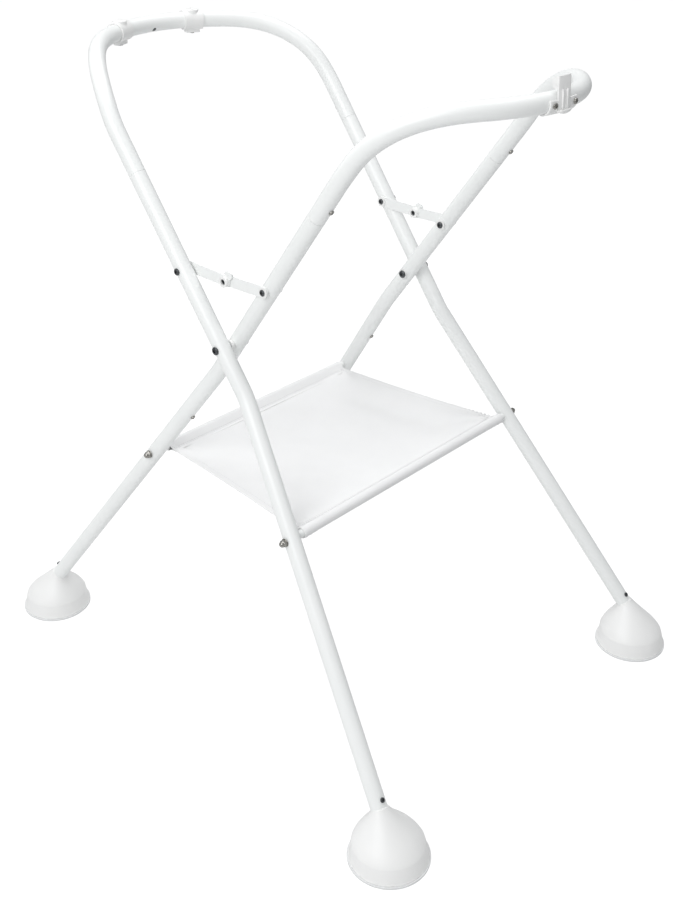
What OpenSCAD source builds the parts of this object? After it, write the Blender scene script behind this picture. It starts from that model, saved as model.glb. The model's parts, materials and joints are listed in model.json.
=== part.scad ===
// Folding stand for a baby bath.
// Two crossing tube frames turn on each other at mid height. Each frame is a bow that
// rolls outwards to carry the rim of the bath, two splayed legs and two domed feet.
// Hinged braces lock the frames apart, and a cloth tray hangs between two cross bars.
// X runs from the outer frame's bow (-X) to the inner frame's bow (+X), Y from front to
// rear, and Z is up from the floor.

/* [Frame tubes] */
// Outer diameter of the frame tubes
tube_d = 25; // [22:0.5:28]
// Wall of the frame tubes
tube_wall = 1.2; // [1:0.1:1.6]
// Half the spacing of the outer frame's side tubes, centre to centre
outer_half_w = 219.5; // [200:0.5:240]
// Lean of both frames from upright when the stand is open
leg_angle = 36.2; // [33:0.1:39]

/* [Legs] */
// Distance from the main pivot down to the bend in the leg
bend_below = 77.4; // [60:0.2:100]
// Angle by which the lower leg splays to the side
splay = 9.85; // [8:0.05:11.5]
// Radius of the bend in the leg, at the tube's centre line
bend_r = 120; // [90:5:150]
// Length of the lower leg from the bend to the foot
lower_len = 601.4; // [540:0.2:640]

/* [Bows] */
// Distance from the main pivot up to the seam between leg and bow
bow_seam = 270.8; // [262:0.2:282]
// Distance from the main pivot up to the start of the bow's curve
bow_start = 331.6; // [327:0.2:345]
// How far the bow reaches beyond that start, measured along its surface
bow_reach = 223.2; // [212:0.2:236]
// Fullness of the bow's curve, where 2 is an ellipse
bow_fullness = 1.92; // [1.85:0.01:2.1]
// Distance from the main pivot up to the start of the outward roll
roll_start = 367.9; // [360:0.1:374]
// Radius of the outward roll
roll_r = 169; // [160:0.5:176]
// Angle of the outward roll
roll_angle = 50.4; // [46:0.2:53]
// Length of the spigot by which a leg plugs into its bow
joint_len = 45; // [40:1:50]
// Radial clearance of a spigot in its tube
joint_clear = 0.05; // [0.02:0.01:0.1]

/* [Braces] */
// Distance from the main pivot up to the brace pins
brace_up = 123; // [115:0.5:132]
// Height of a brace link
link_h = 16.5; // [15:0.5:19]
// Thickness of a brace link
link_t = 2; // [1.6:0.1:2.4]
// Clearance between a link and the tube beside it
link_side_clear = 0.3; // [0.2:0.05:0.5]
// Clearance between the two links of a brace
link_mid_clear = 0.4; // [0.3:0.05:0.6]
// How far the centre pin lies below the line of the end pins when locked
over_centre = 2; // [1:0.1:3]
// Diameter of the brace pins
brace_pin_d = 5; // [4:0.2:6]
// Diameter of the white rings on the brace pins
brace_ring_d = 16; // [13:0.5:17]
// Thickness of the rings at the ends of a brace
brace_ring_t = 1.4; // [1:0.1:1.6]
// Height of the cap over the centre pin
centre_cap_h = 5.5; // [5:0.1:7]
// Radius of the ends of the thumb ear over the centre pin
ear_r = 5.5; // [5:0.1:6.5]
// Length of the ear between those ends
ear_len = 4; // [3:0.1:6]
// Height of the ear's middle above the link's edge
ear_up = 1.3; // [1:0.1:2.5]
// Distance of the stop on the ear from the centre pin
stop_out = 8; // [7.6:0.1:8.4]

/* [Main pivot] */
// Diameter of the pivot bolts
pivot_d = 8; // [6:0.5:9]
// Diameter of the spacer between the two tubes at the pivot
spacer_d = 16; // [13:0.5:19]
// Thickness of the ring under the pivot nut
pivot_ring_t = 1.2; // [1:0.1:2]
// Height of the pivot nut
pivot_nut_h = 4; // [3.5:0.1:5]

/* [Screws] */
// Diameter of the bolt heads
head_d = 10; // [9.5:0.5:12]
// Height of the bolt heads
head_h = 3.2; // [2.8:0.1:4]
// Diameter of the screws through the tube walls
screw_d = 4; // [3.4:0.1:4.4]
// Diameter of the screws' heads
screw_head_d = 7.5; // [7:0.1:8]
// Radial clearance of a bolt in a hole that it only passes through
bolt_clear = 0.05; // [0.03:0.01:0.1]
// Distance from the main pivot up to the screws that hold the bows
bow_screw_up = 296; // [290:0.5:302]
// Distance from the outer leg's bend down to its screw
outer_leg_screw = 58.5; // [40:0.5:80]
// Distance from the inner leg's bend down to its screw
inner_leg_screw = 99; // [80:0.5:120]
// Distance from a foot up to its screw
foot_screw_up = 11; // [9:0.5:16]

/* [Feet] */
// Height of a foot where its leg ends, at the tube's centre line
neck_height = 76.8; // [74:0.2:82]
// Radius of the sole
sole_r = 59.5; // [58.5:0.5:62]
// Thickness of the sole
sole_t = 4; // [3:0.1:5]
// Radius of the skirt where it meets the sole
skirt_r = 57; // [55:0.2:58]
// Radius of the crease between skirt and dome
crease_r = 52.6; // [50.6:0.2:54]
// Height of that crease above the floor
crease_h = 28; // [22:0.5:32]
// Height of the dome
dome_h = 68.5; // [66:0.5:70]
// Fullness of the dome's outline below its top
dome_fullness = 1.9; // [1.75:0.01:2.1]
// Power by which the dome draws in above the crease
dome_rise = 1.15; // [1.05:0.01:1.3]
// How quickly the dome leans towards its leg
dome_lean = 2.4; // [2:0.05:2.8]
// How far the sole's centre lies outside the end of the leg, along X
foot_out = 21.3; // [18:0.1:24]
// How far the sole's centre lies outside the end of the leg, along Y
foot_side = 1.8; // [0:0.1:4]
// Wall of the dome
dome_wall = 3; // [2.4:0.1:3.6]
// Radius of the seat under the end of the leg
seat_r = 14.3; // [14.1:0.1:15]
// Length of the foot's plug inside the leg
plug_len = 32; // [28:1:40]

/* [Tray] */
// Height of the tray's cross bars above the floor
tray_height = 388; // [370:1:405]
// Diameter of the cross bars
bar_d = 13; // [12:0.5:15]
// Wall of the cross bars
bar_wall = 1.2; // [1:0.1:1.6]
// Diameter of the bolts that hold the cross bars
bar_bolt_d = 6; // [5:0.2:6.4]
// Length of the threaded plug in the end of a cross bar
bar_plug_len = 22; // [18:1:28]
// Gap between the cloth's side edge and the inner frame's leg
cloth_inner_gap = 9.7; // [7:0.1:24]
// Gap between the cloth's side edge and the outer frame's leg
cloth_outer_gap = 6.7; // [5:0.1:24]
// Thickness of the cloth
cloth_t = 1.4; // [1.2:0.1:2]
// Thickness of the cloth sleeve round a bar
sleeve_t = 1.2; // [0.8:0.1:1.6]
// How far the middle of the cloth sags
cloth_sag = 15; // [5:0.5:30]
// How far the side edges of the cloth sag
edge_sag = 7; // [2:0.5:12]
// How far the side edges of the cloth draw in at mid length
edge_draw = 9; // [4:0.5:14]
// Depth of the long fold along the rear side of the cloth
fold_depth = 5; // [2:0.5:8]

/* [Bath fittings] */
// Distance of each saddle from the middle of the outer bow, along Y
saddle_y = 72; // [60:1:84]
// Length of a saddle along the tube
saddle_len = 33; // [28:0.5:38]
// Thickness of the plastic round the tube
grip_t = 2.2; // [1.8:0.1:3]
// Clearance between the plastic and the tube
grip_clear = 0.25; // [0.2:0.05:0.4]
// Diameter of the button on top of a saddle
button_d = 22; // [18:0.5:25]
// Height of that button above the saddle
button_h = 1.2; // [0.8:0.1:3]
// Width of the slot in the button
slot_w = 2.4; // [1.8:0.1:3.2]
// Length of that slot
slot_len = 8; // [6:0.5:13]
// Length of the tab under a saddle, along the tube
saddle_tab_len = 23; // [16:0.5:26]
// Width of that tab across the tube
saddle_tab_w = 11; // [9:0.5:14]
// Depth of that tab below the saddle
saddle_tab_h = 4.2; // [3:0.1:6]
// Place of the catch along the inner bow, where 0 is the middle and minus is to the front
catch_y = -11; // [-14:0.5:0]
// Length of the catch along the inner bow
catch_len = 46; // [44:0.5:50]
// Width of the catch's upright tongue
tongue_w = 19.5; // [17:0.5:20]
// Place of the tongue along the catch, where 0 is its middle and minus is to the front
tongue_y = -2.5; // [-3:0.1:0]
// Thickness of the tongue
tongue_t = 2.2; // [2:0.1:3]
// Height of the tongue above the tube
tongue_up = 18.2; // [14:0.2:24]
// How far the hood on top of the tongue runs back over the tube
hood_reach = 8.5; // [6:0.5:12]
// Gap between the hood and the tube
hood_gap = 3.4; // [2:0.2:6]
// Angle by which the catch's screws point below level
catch_screw_drop = 8; // [4:1:30]
// Clearance between those screws' heads and the tongue
catch_screw_gap = 1; // [0.4:0.1:1.5]
// How far the lip under the tongue stands out from it
lip_out = 1.8; // [1.2:0.2:4]
// Number of ribs on the tongue
rib_count = 2; // [2:1:3]
// Spacing of those ribs
rib_pitch = 7.4; // [5:0.2:8]
// How far the ribs stand out from the tongue
rib_out = 2; // [1.4:0.1:3]

/* [Hidden] */

$fn = 48;
eps = 0.01;
paint = "#f1f2f1";
plastic = "#fafafa";
steel = "#56585a";
cloth = "#f4f4f6";
rubber = "#d9dadb";

tube_r = tube_d / 2;
bore_r = tube_r - tube_wall;
spigot_r = bore_r - joint_clear;
frame_gap = 2 * link_t + 2 * link_side_clear + link_mid_clear;
inner_half_w = outer_half_w - tube_d - frame_gap;
outer_crest = outer_half_w + tube_r;
gap_outer = outer_half_w - tube_r;
gap_inner = gap_outer - frame_gap;
inner_crest = inner_half_w - tube_r;

bend_tan = bend_r * tan(splay / 2);
leg_drop = bend_below + lower_len * cos(splay);
pivot_height = neck_height + leg_drop * cos(leg_angle);
leg_end_x = leg_drop * sin(leg_angle);
function leg_end_y(half_w) = half_w + lower_len * sin(splay);

bar_r = bar_d / 2;
bar_down = (pivot_height - tray_height) / cos(leg_angle);
bar_x = bar_down * sin(leg_angle);
function bar_y(half_w) = half_w + (bar_down - bend_below) * tan(splay);
leg_side = tube_r / cos(splay);
head_rise = head_d / 2 * tan(splay);
cloth_inner_half = bar_y(inner_half_w) - leg_side - cloth_inner_gap;
cloth_outer_half = bar_y(outer_half_w) - leg_side - cloth_outer_gap;

pin_x = brace_up * sin(leg_angle);
pin_z = pivot_height + brace_up * cos(leg_angle);
link_len = sqrt(pin_x * pin_x + over_centre * over_centre);
link_dip = asin(over_centre / link_len);
link_r = link_h / 2;
outer_link_y = gap_outer - link_side_clear - link_t;
inner_link_y = gap_inner + link_side_clear;
mid_y = (gap_outer + gap_inner) / 2;

// Placing: both frames are drawn leaning towards +X, the outer one is mirrored, and
// every side piece is drawn at the rear, then mirrored to the front.
module turned(outer) {
    if (outer) mirror([1, 0, 0]) children();
    else children();
}
module on_side(front) {
    if (front) mirror([0, 1, 0]) children();
    else children();
}
module both_sides() {
    children();
    mirror([0, 1, 0]) children();
}
module frame(outer) {
    turned(outer) translate([0, 0, pivot_height]) rotate([0, leg_angle, 0]) children();
}
// Axes along the lower leg, with the origin at the bend and the foot towards -Z
module lower_leg(half_w) {
    translate([0, half_w, -bend_below]) rotate([splay, 0, 0]) children();
}
function half_w(outer) = outer ? outer_half_w : inner_half_w;

// Tube shapes ---------------------------------------------------------------
// Bending draws the tube a hair slimmer; the bend reaches a little into both straight runs
module leg_path(half_w, r, top, bottom) {
    straight = bend_below - bend_tan;
    drawn = 0.1;
    lap = 1;
    translate([0, half_w, -straight]) cylinder(r = r, h = straight + top);
    translate([0, half_w + bend_r, -straight]) rotate([-90, 0, 0]) rotate([0, 90, 0])
        rotate([0, 0, -lap]) rotate_extrude(angle = splay + 2 * lap)
            translate([bend_r, 0]) circle(r = r - drawn);
    lower_leg(half_w) translate([0, 0, -bend_tan]) rotate([180, 0, 0])
        cylinder(r = r, h = lower_len + bottom - bend_tan);
}
module cross_hole(half_w, up, d) {
    translate([0, half_w, up]) rotate([90, 0, 0])
        cylinder(d = d, h = tube_d * 2, center = true);
}
module under_hole(d) {
    rotate([0, 90, 0]) cylinder(d = d, h = tube_d);
}
module leg(outer) {
    w = half_w(outer);
    neck_in = 3;
    pivot_hole = pivot_d + 2 * bolt_clear;
    leg_screw = outer ? outer_leg_screw : inner_leg_screw;
    frame(outer) difference() {
        union() {
            leg_path(w, tube_r, bow_seam, 0);
            translate([0, w, bow_seam - eps]) cylinder(r = spigot_r, h = joint_len + eps);
        }
        leg_path(w, bore_r, bow_seam - neck_in, 1);
        translate([0, w, 0]) cylinder(r = spigot_r - tube_wall, h = bow_seam + joint_len + 1);
        cross_hole(w, 0, pivot_hole);
        cross_hole(w, brace_up, brace_pin_d + 2 * bolt_clear);
        cross_hole(bar_y(w), -bar_down, bar_bolt_d + 2 * bolt_clear);
        translate([0, w, bow_screw_up]) under_hole(screw_d + 2 * bolt_clear);
        lower_leg(w) {
            translate([0, 0, -leg_screw]) under_hole(screw_d + 2 * bolt_clear);
            translate([0, 0, foot_screw_up - lower_len]) foot_screw_turn()
                under_hole(screw_d + 2 * bolt_clear);
        }
    }
}
// The foot's screw enters from the upper side of the leg
module foot_screw_turn() {
    mirror([1, 0, 0]) children();
}

// Bows ----------------------------------------------------------------------
// A bow is a half ellipse on a flat sheet, and the sheet is rolled outwards.
bow_power = 2 / bow_fullness;
roll_end = roll_start + roll_r * roll_angle * PI / 180;
function roll_at(s) = s <= roll_start ? 0 : min((s - roll_start) / roll_r * 180 / PI, roll_angle);
function rolled(s, y) = s <= roll_start ? [0, y, s] :
    let (a = roll_at(s), rest = max(s - roll_end, 0))
    [roll_r * (1 - cos(a)) + rest * sin(a), y, roll_start + roll_r * sin(a) + rest * cos(a)];
function bow_s(t) = bow_start + bow_reach * pow(sin(t), bow_power);
function bow_y(w, t) = sign(cos(t)) * w * pow(abs(cos(t)), bow_power);
function unit(v) = v / norm(v);

module bow_sweep(w, r, sides, steps) {
    turns = [for (i = [0:steps]) 180 * i / steps];
    path = [for (t = turns) rolled(bow_s(t), bow_y(w, t))];
    rings = [for (i = [0:steps])
        let (a = roll_at(bow_s(turns[i])),
             out = [cos(a), 0, -sin(a)],
             dir = i == 0 ? [0, 0, 1] : i == steps ? [0, 0, -1] : unit(path[i + 1] - path[i - 1]),
             n = unit(out - dir * (out * dir)),
             b = cross(dir, n))
        [for (k = [0:sides - 1]) path[i] + r * (n * cos(360 * k / sides) + b * sin(360 * k / sides))]];
    skin = [for (i = [0:steps - 1], k = [0:sides - 1])
        let (a = i * sides + k, b = i * sides + (k + 1) % sides)
        each [[a, b + sides, b], [a, a + sides, b + sides]]];
    ends = [[for (k = [0:sides - 1]) k], [for (k = [sides - 1:-1:0]) steps * sides + k]];
    polyhedron([for (ring = rings) each ring], concat(skin, ends), convexity = 6);
}
module bow_form(w, r, sides, steps, below) {
    bow_sweep(w, r, sides, steps);
    both_sides() translate([0, w, bow_seam - below])
        cylinder(r = r, h = bow_start - bow_seam + below, $fn = sides);
}
module bow(outer) {
    w = half_w(outer);
    difference() {
        frame(outer) difference() {
            bow_form(w, tube_r, 24, 52, 0);
            bow_form(w, bore_r, 16, 40, 1);
            both_sides() translate([0, w, bow_screw_up]) under_hole(screw_d + 2 * bolt_clear);
        }
        if (outer) both_sides() on_bow(true, saddle_y, saddle_len) saddle_screw_place()
            cylinder(d = screw_d + 2 * bolt_clear, h = tube_d);
        else on_bow(false, catch_y, catch_len) both_sides() catch_screw_place()
            cylinder(d = screw_d + 2 * bolt_clear, h = tube_d);
    }
}
// Axes on a bow's crown at distance y from its middle: X points out, Y along the tube
// and Z up, with the origin on the tube's centre line. A fitting of length len follows the
// circle through three points of the tube.
function crown_s(w, y) =
    bow_start + bow_reach * pow(1 - pow(abs(y) / w, bow_fullness), 1 / bow_fullness);
function crown_r(w, y, len) =
    let (a = [y - len / 2, crown_s(w, y - len / 2)], b = [y, crown_s(w, y)],
         c = [y + len / 2, crown_s(w, y + len / 2)])
    norm(b - c) * norm(c - a) * norm(a - b) / 2 / abs(cross(b - a, c - a));
module on_bow(outer, y, len) {
    w = half_w(outer);
    s = crown_s(w, y);
    turn = atan2(crown_s(w, y - len / 2) - crown_s(w, y + len / 2), len);
    frame(outer) translate(rolled(s, y)) rotate([0, roll_at(s) - 90, 0])
        rotate([0, 0, turn]) children();
}
// A length of ring round the crown's tube, of the given section, where the tube has radius r
module along_bow(r, len) {
    half = asin(len / 2 / r);
    translate([-r, 0, 0]) rotate([0, 0, -half])
        rotate_extrude(angle = 2 * half) translate([r, 0]) children();
}

// Fasteners: drawn along +Z, with the underside of the head at z = 0
module dome_head(d, h, hex) {
    edge = h * 0.4;
    difference() {
        rotate_extrude() polygon([[0, 0], [d / 2, 0], [d / 2, edge],
            for (a = [15:15:75]) [d / 2 * cos(a), edge + (h - edge) * sin(a)], [0, h]]);
        translate([0, 0, h * 0.35]) cylinder(d = hex, h = h, $fn = 6);
    }
}
module bolt(d, len, head, height) {
    dome_head(head, height, head * 0.45);
    translate([0, 0, -len]) cylinder(d = d, h = len + eps);
}
module to_rear(y) { translate([0, y, 0]) rotate([-90, 0, 0]) children(); }
module to_middle(y) { translate([0, y, 0]) rotate([90, 0, 0]) children(); }
module ring(d, hole, t) {
    difference() {
        cylinder(d = d, h = t);
        translate([0, 0, -1]) cylinder(d = hole, h = t + 2);
    }
}
// A screw through the underside of a tube: the head rests on the tube
screw_seat = tube_r + 0.6;
module under_screw() {
    rotate([0, 90, 0]) translate([0, 0, screw_seat])
        bolt(screw_d, screw_seat - bore_r + 7, screw_head_d, 2.2);
}

module bow_screws(outer) {
    color(steel) frame(outer) both_sides()
        translate([0, half_w(outer), bow_screw_up]) under_screw();
}
module leg_screws(outer) {
    drop = outer ? outer_leg_screw : inner_leg_screw;
    color(steel) frame(outer) both_sides() lower_leg(half_w(outer))
        translate([0, 0, -drop]) under_screw();
}
module foot_screws(outer) {
    color(steel) frame(outer) both_sides() lower_leg(half_w(outer))
        translate([0, 0, foot_screw_up - lower_len]) foot_screw_turn() under_screw();
}

// Feet ----------------------------------------------------------------------
// The foot is lofted from level rings whose centres lean towards the leg: a skirt that
// flares to the sole, a crease, and a dome
function foot_ring_r(z) = z <= crease_h
    ? crease_r + (skirt_r - crease_r) * (crease_h - z) / (crease_h - sole_t)
    : crease_r * pow(1 - pow((z - crease_h) / (dome_h - crease_h), dome_rise), 1 / dome_fullness);
module dome(outer, inset, sides, steps, bottom) {
    x = leg_end_x;
    y = leg_end_y(half_w(outer));
    rise = 0.985 * (dome_h - crease_h);
    heights = concat([bottom], [for (i = [0:steps]) crease_h - inset + rise * sin(90 * i / steps)]);
    points = [for (z = heights)
        let (lean = 1 - pow(z / neck_height, dome_lean), r = foot_ring_r(z + inset) - inset)
        for (k = [0:sides - 1])
            [-x - foot_out * lean + r * cos(360 * k / sides),
             y + foot_side * lean + r * sin(360 * k / sides), z]];
    last = len(heights) - 1;
    skin = [for (i = [0:last - 1], k = [0:sides - 1])
        let (a = i * sides + k, b = i * sides + (k + 1) % sides)
        each [[a, b + sides, b], [a, a + sides, b + sides]]];
    ends = [[for (k = [0:sides - 1]) k], [for (k = [sides - 1:-1:0]) last * sides + k]];
    polyhedron(points, concat(skin, ends), convexity = 4);
}
module foot(outer, front) {
    w = half_w(outer);
    seat_depth = 26;
    color(plastic) on_side(front) difference() {
        union() {
            turned(outer) difference() {
                dome(outer, 0, 28, 12, sole_t);
                dome(outer, dome_wall, 18, 7, sole_t - 1);
            }
            frame(outer) lower_leg(w) {
                translate([0, 0, -lower_len - seat_depth]) cylinder(r = seat_r, h = seat_depth);
                translate([0, 0, -lower_len - eps]) cylinder(r = spigot_r, h = plug_len + eps);
            }
        }
        frame(outer) lower_leg(w) translate([0, 0, foot_screw_up - lower_len])
            foot_screw_turn() under_hole(screw_d + 2 * bolt_clear);
    }
}
module foot_soles(outer) {
    rim_h = 3;
    rim_t = 2;
    fit = 2.7;
    rim_r = skirt_r - dome_wall - fit;
    color(rubber) turned(outer) both_sides()
        translate([-leg_end_x - foot_out, leg_end_y(half_w(outer)) + foot_side, 0])
        rotate_extrude($fn = 96) polygon([[0, 0], [sole_r - 0.6, 0], [sole_r, 0.6],
            [sole_r, sole_t - 0.6], [sole_r - 0.6, sole_t],
            [rim_r, sole_t], [rim_r, sole_t + rim_h], [rim_r - rim_t, sole_t + rim_h],
            [rim_r - rim_t, sole_t], [0, sole_t]]);
}

// Tray ----------------------------------------------------------------------
module bar_line(outer) {
    frame(outer) translate([0, 0, -bar_down]) children();
}
module tray_bar(outer) {
    w = half_w(outer);
    bar_half = bar_y(w);
    seat_clear = 0.05;
    color(paint) difference() {
        bar_line(outer) rotate([90, 0, 0]) difference() {
            cylinder(r = bar_r, h = 2 * bar_half, center = true);
            cylinder(r = bar_r - bar_wall, h = 2 * bar_half + 2, center = true);
        }
        frame(outer) both_sides() lower_leg(w) translate([0, 0, -lower_len])
            cylinder(r = tube_r + seat_clear, h = lower_len);
    }
}
module bar_plugs(outer) {
    w = half_w(outer);
    fit = 0.05;
    inset = 2.5;
    color(steel) bar_line(outer) both_sides()
        to_middle(bar_y(w) - leg_side - head_rise - inset)
            ring(bar_d - 2 * bar_wall - 2 * fit, bar_bolt_d + 2 * bolt_clear, bar_plug_len);
}
module tray_bolts(outer) {
    w = half_w(outer);
    head_y = bar_y(w) + leg_side + head_rise;
    color(steel) bar_line(outer) both_sides() to_rear(head_y)
        bolt(bar_bolt_d, head_y - bar_y(w) + tube_r + bar_plug_len, head_d, head_h);
}
sleeve_in = bar_r + 0.3;
sleeve_out = sleeve_in + sleeve_t;
module tray_fabric() {
    nx = 22;
    ny = 22;
    start = bar_x - sleeve_in - sleeve_t / 2;
    top = [for (i = [0:nx], j = [0:ny])
        let (u = i / nx, v = 2 * j / ny - 1, arch = 4 * u * (1 - u),
             half = cloth_inner_half + (cloth_outer_half - cloth_inner_half) * u - edge_draw * arch,
             sag = arch * (cloth_sag + (edge_sag - cloth_sag) * v * v),
             fold = fold_depth * sin(180 * u) * exp(-pow((v - 0.7) / 0.13, 2)))
        [start * (2 * u - 1), half * v, tray_height - sag - fold + cloth_t / 2]];
    count = (nx + 1) * (ny + 1);
    under = [for (p = top) p - [0, 0, cloth_t]];
    row = ny + 1;
    cells = [for (i = [0:nx - 1], j = [0:ny - 1]) let (a = i * row + j) each
        [[a, a + 1, a + row + 1], [a, a + row + 1, a + row],
         [count + a, count + a + row + 1, count + a + 1],
         [count + a, count + a + row, count + a + row + 1]]];
    front = [for (i = [0:nx - 1]) let (a = i * row, b = a + row) each
        [[a, b, count + b], [a, count + b, count + a]]];
    rear = [for (i = [0:nx - 1]) let (a = i * row + ny, b = a + row) each
        [[a, count + b, b], [a, count + a, count + b]]];
    left = [for (j = [0:ny - 1]) each [[j, count + j + 1, j + 1], [j, count + j, count + j + 1]]];
    right = [for (j = [0:ny - 1]) let (a = nx * row + j) each
        [[a, a + 1, count + a + 1], [a, count + a + 1, count + a]]];
    color(cloth) {
        polyhedron(concat(top, under), concat(cells, front, rear, left, right), convexity = 6);
        cloth_sleeve(false, cloth_inner_half);
        cloth_sleeve(true, cloth_outer_half);
    }
}
module cloth_sleeve(outer, half) {
    translate([outer ? bar_x : -bar_x, half, tray_height]) rotate([90, 0, 0])
        ring(2 * sleeve_out, 2 * sleeve_in, 2 * half);
}

// Main pivot ----------------------------------------------------------------
pivot_lift = 0.1;
module at_pivot() { translate([0, 0, pivot_height]) both_sides() children(); }
module pivot_bolts() {
    head_y = outer_crest + pivot_lift;
    end_y = inner_crest - link_side_clear - pivot_ring_t - pivot_nut_h / 2;
    color(steel) at_pivot() to_rear(head_y) bolt(pivot_d, head_y - end_y, head_d + 2, head_h);
}
module pivot_spacers() {
    rest = 0.05;
    color(plastic) at_pivot() to_middle(gap_outer - rest)
        ring(spacer_d, pivot_d + 2 * bolt_clear, frame_gap - rest - link_side_clear);
}
module pivot_rings() {
    color(plastic) at_pivot() to_middle(inner_crest - link_side_clear)
        ring(spacer_d, pivot_d + 2 * bolt_clear, pivot_ring_t);
}
module pivot_nuts() {
    color(steel) at_pivot() to_middle(inner_crest - link_side_clear - pivot_ring_t)
        difference() {
            dome_head(head_d + 2, pivot_nut_h, head_d * 0.45);
            translate([0, 0, -1]) cylinder(d = pivot_d, h = 1 + pivot_nut_h / 2);
        }
}

// Braces --------------------------------------------------------------------
module at_pin(outer) {
    translate([outer ? -pin_x : pin_x, 0, pin_z]) children();
}
// The ring and the cap on the free side of a link, at the end pin
outer_ring_y = outer_link_y - link_side_clear;
inner_ring_y = inner_link_y + link_t + link_side_clear;
pin_cap_h = 2.4;
module brace_bolts(outer) {
    head_y = outer ? outer_crest + pivot_lift : inner_crest - pivot_lift - brace_ring_t;
    cap_y = outer ? outer_ring_y - brace_ring_t : inner_ring_y + brace_ring_t;
    reach = abs(head_y - cap_y);
    color(steel) at_pin(outer) both_sides() {
        if (outer) {
            to_rear(head_y) bolt(brace_pin_d, reach, head_d, head_h);
            to_middle(cap_y) dome_head(head_d - 1, pin_cap_h, head_d * 0.4);
        } else {
            to_middle(head_y) bolt(brace_pin_d, reach, head_d, head_h);
            to_rear(cap_y) dome_head(head_d - 1, pin_cap_h, head_d * 0.4);
        }
    }
}
module brace_ring() {
    ring(brace_ring_d, brace_pin_d + 2 * bolt_clear, brace_ring_t);
}
// The inner frame's bolts have a second ring under their heads
module brace_rings(outer) {
    color(plastic) at_pin(outer) both_sides() {
        if (outer) to_middle(outer_ring_y) brace_ring();
        else {
            to_rear(inner_ring_y) brace_ring();
            to_middle(inner_crest - pivot_lift) brace_ring();
        }
    }
}
// Axes of a link: X from its end pin to the centre pin, Z across it, at layer y
module link_axes(outer, front, y) {
    on_side(front) turned(!outer) translate([-pin_x, y, pin_z]) rotate([0, link_dip, 0])
        children();
}
module plate(y_thick) { translate([0, y_thick, 0]) rotate([90, 0, 0]) linear_extrude(y_thick) children(); }
module link(outer) {
    difference() {
        plate(link_t) {
            circle(r = link_r);
            translate([link_len, 0]) circle(r = link_r);
            translate([0, -link_r]) square([link_len, link_h]);
            if (outer) translate([link_len + ear_r * 0.6, link_r + ear_up]) {
                circle(r = ear_r);
                translate([ear_len, 0]) circle(r = ear_r);
                translate([0, -ear_r]) square([ear_len, 2 * ear_r]);
            }
        }
        for (x = [0, link_len]) translate([x, -1, 0]) rotate([-90, 0, 0])
            cylinder(d = brace_pin_d + 2 * bolt_clear, h = link_t + 2);
    }
}
// The stop is folded from the outer link's ear and lies on the inner link's top edge
module link_stop() {
    stop_w = 3;
    stop_h = 2;
    clear = 0.35;
    lift = link_r + (stop_out + stop_w) * tan(2 * link_dip) + clear;
    depth = link_t + link_mid_clear;
    translate([link_len + stop_out, -depth + 0.1, lift]) cube([stop_w, depth + 0.4, stop_h]);
}
module brace_outer(front) {
    color(paint) link_axes(true, front, outer_link_y) {
        link(true);
        link_stop();
    }
}
module brace_inner(front) {
    color(paint) link_axes(false, front, inner_link_y) link(false);
}
cap_floor = 2;
cap_recess = 8.6;
module brace_cap(outer, front) {
    y = outer ? outer_link_y + link_t : inner_link_y;
    color(plastic) link_axes(outer, front, 0) translate([link_len, y, 0])
        rotate([outer ? -90 : 90, 0, 0]) difference() {
            ring(brace_ring_d, brace_pin_d + 2 * bolt_clear, centre_cap_h);
            translate([0, 0, cap_floor]) cylinder(d = cap_recess, h = centre_cap_h);
        }
}
module brace_pin(outer, front) {
    half_gap = 0.1;
    y = outer ? outer_link_y + link_t : inner_link_y;
    reach = abs(y - mid_y) - half_gap + cap_floor;
    color(steel) link_axes(outer, front, 0) translate([link_len, y, 0])
        rotate([outer ? -90 : 90, 0, 0]) translate([0, 0, cap_floor])
            bolt(brace_pin_d, reach, cap_recess - 0.4, 2.4);
}

// Bath fittings -------------------------------------------------------------
grip_r = tube_r + grip_clear + grip_t;
grip_mid_r = grip_r - grip_t / 2;
module grip_section() {
    difference() {
        circle(r = grip_r);
        circle(r = tube_r + grip_clear);
    }
}
module saddle_screw_place() {
    rotate([180, 0, 0]) children();
}
module tub_saddle(front) {
    r = crown_r(outer_half_w, saddle_y, saddle_len);
    root = 1.2;
    slot_depth = 2.5;
    edge = 0.6;
    color(plastic) on_side(front) on_bow(true, saddle_y, saddle_len) difference() {
        union() {
            along_bow(r, saddle_len) grip_section();
            difference() {
                union() {
                    rotate_extrude() polygon([[0, 0], [button_d / 2, 0],
                        [button_d / 2, grip_r + button_h - edge],
                        [button_d / 2 - edge, grip_r + button_h], [0, grip_r + button_h]]);
                    translate([-saddle_tab_w / 2, -saddle_tab_len / 2, -grip_r - saddle_tab_h])
                        cube([saddle_tab_w, saddle_tab_len, saddle_tab_h + root]);
                }
                along_bow(r, saddle_len) circle(r = grip_mid_r);
            }
        }
        translate([-slot_len / 2, -slot_w / 2, grip_r + button_h - slot_depth])
            cube([slot_len, slot_w, slot_depth + 1]);
        saddle_screw_place() cylinder(d = screw_d + 2 * bolt_clear, h = tube_d + saddle_tab_h);
    }
}
module tub_saddle_screws() {
    seat = grip_r + saddle_tab_h;
    color(steel) both_sides() on_bow(true, saddle_y, saddle_len) saddle_screw_place()
        translate([0, 0, seat]) bolt(screw_d, seat - bore_r + 4, screw_head_d, 2.2);
}
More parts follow.
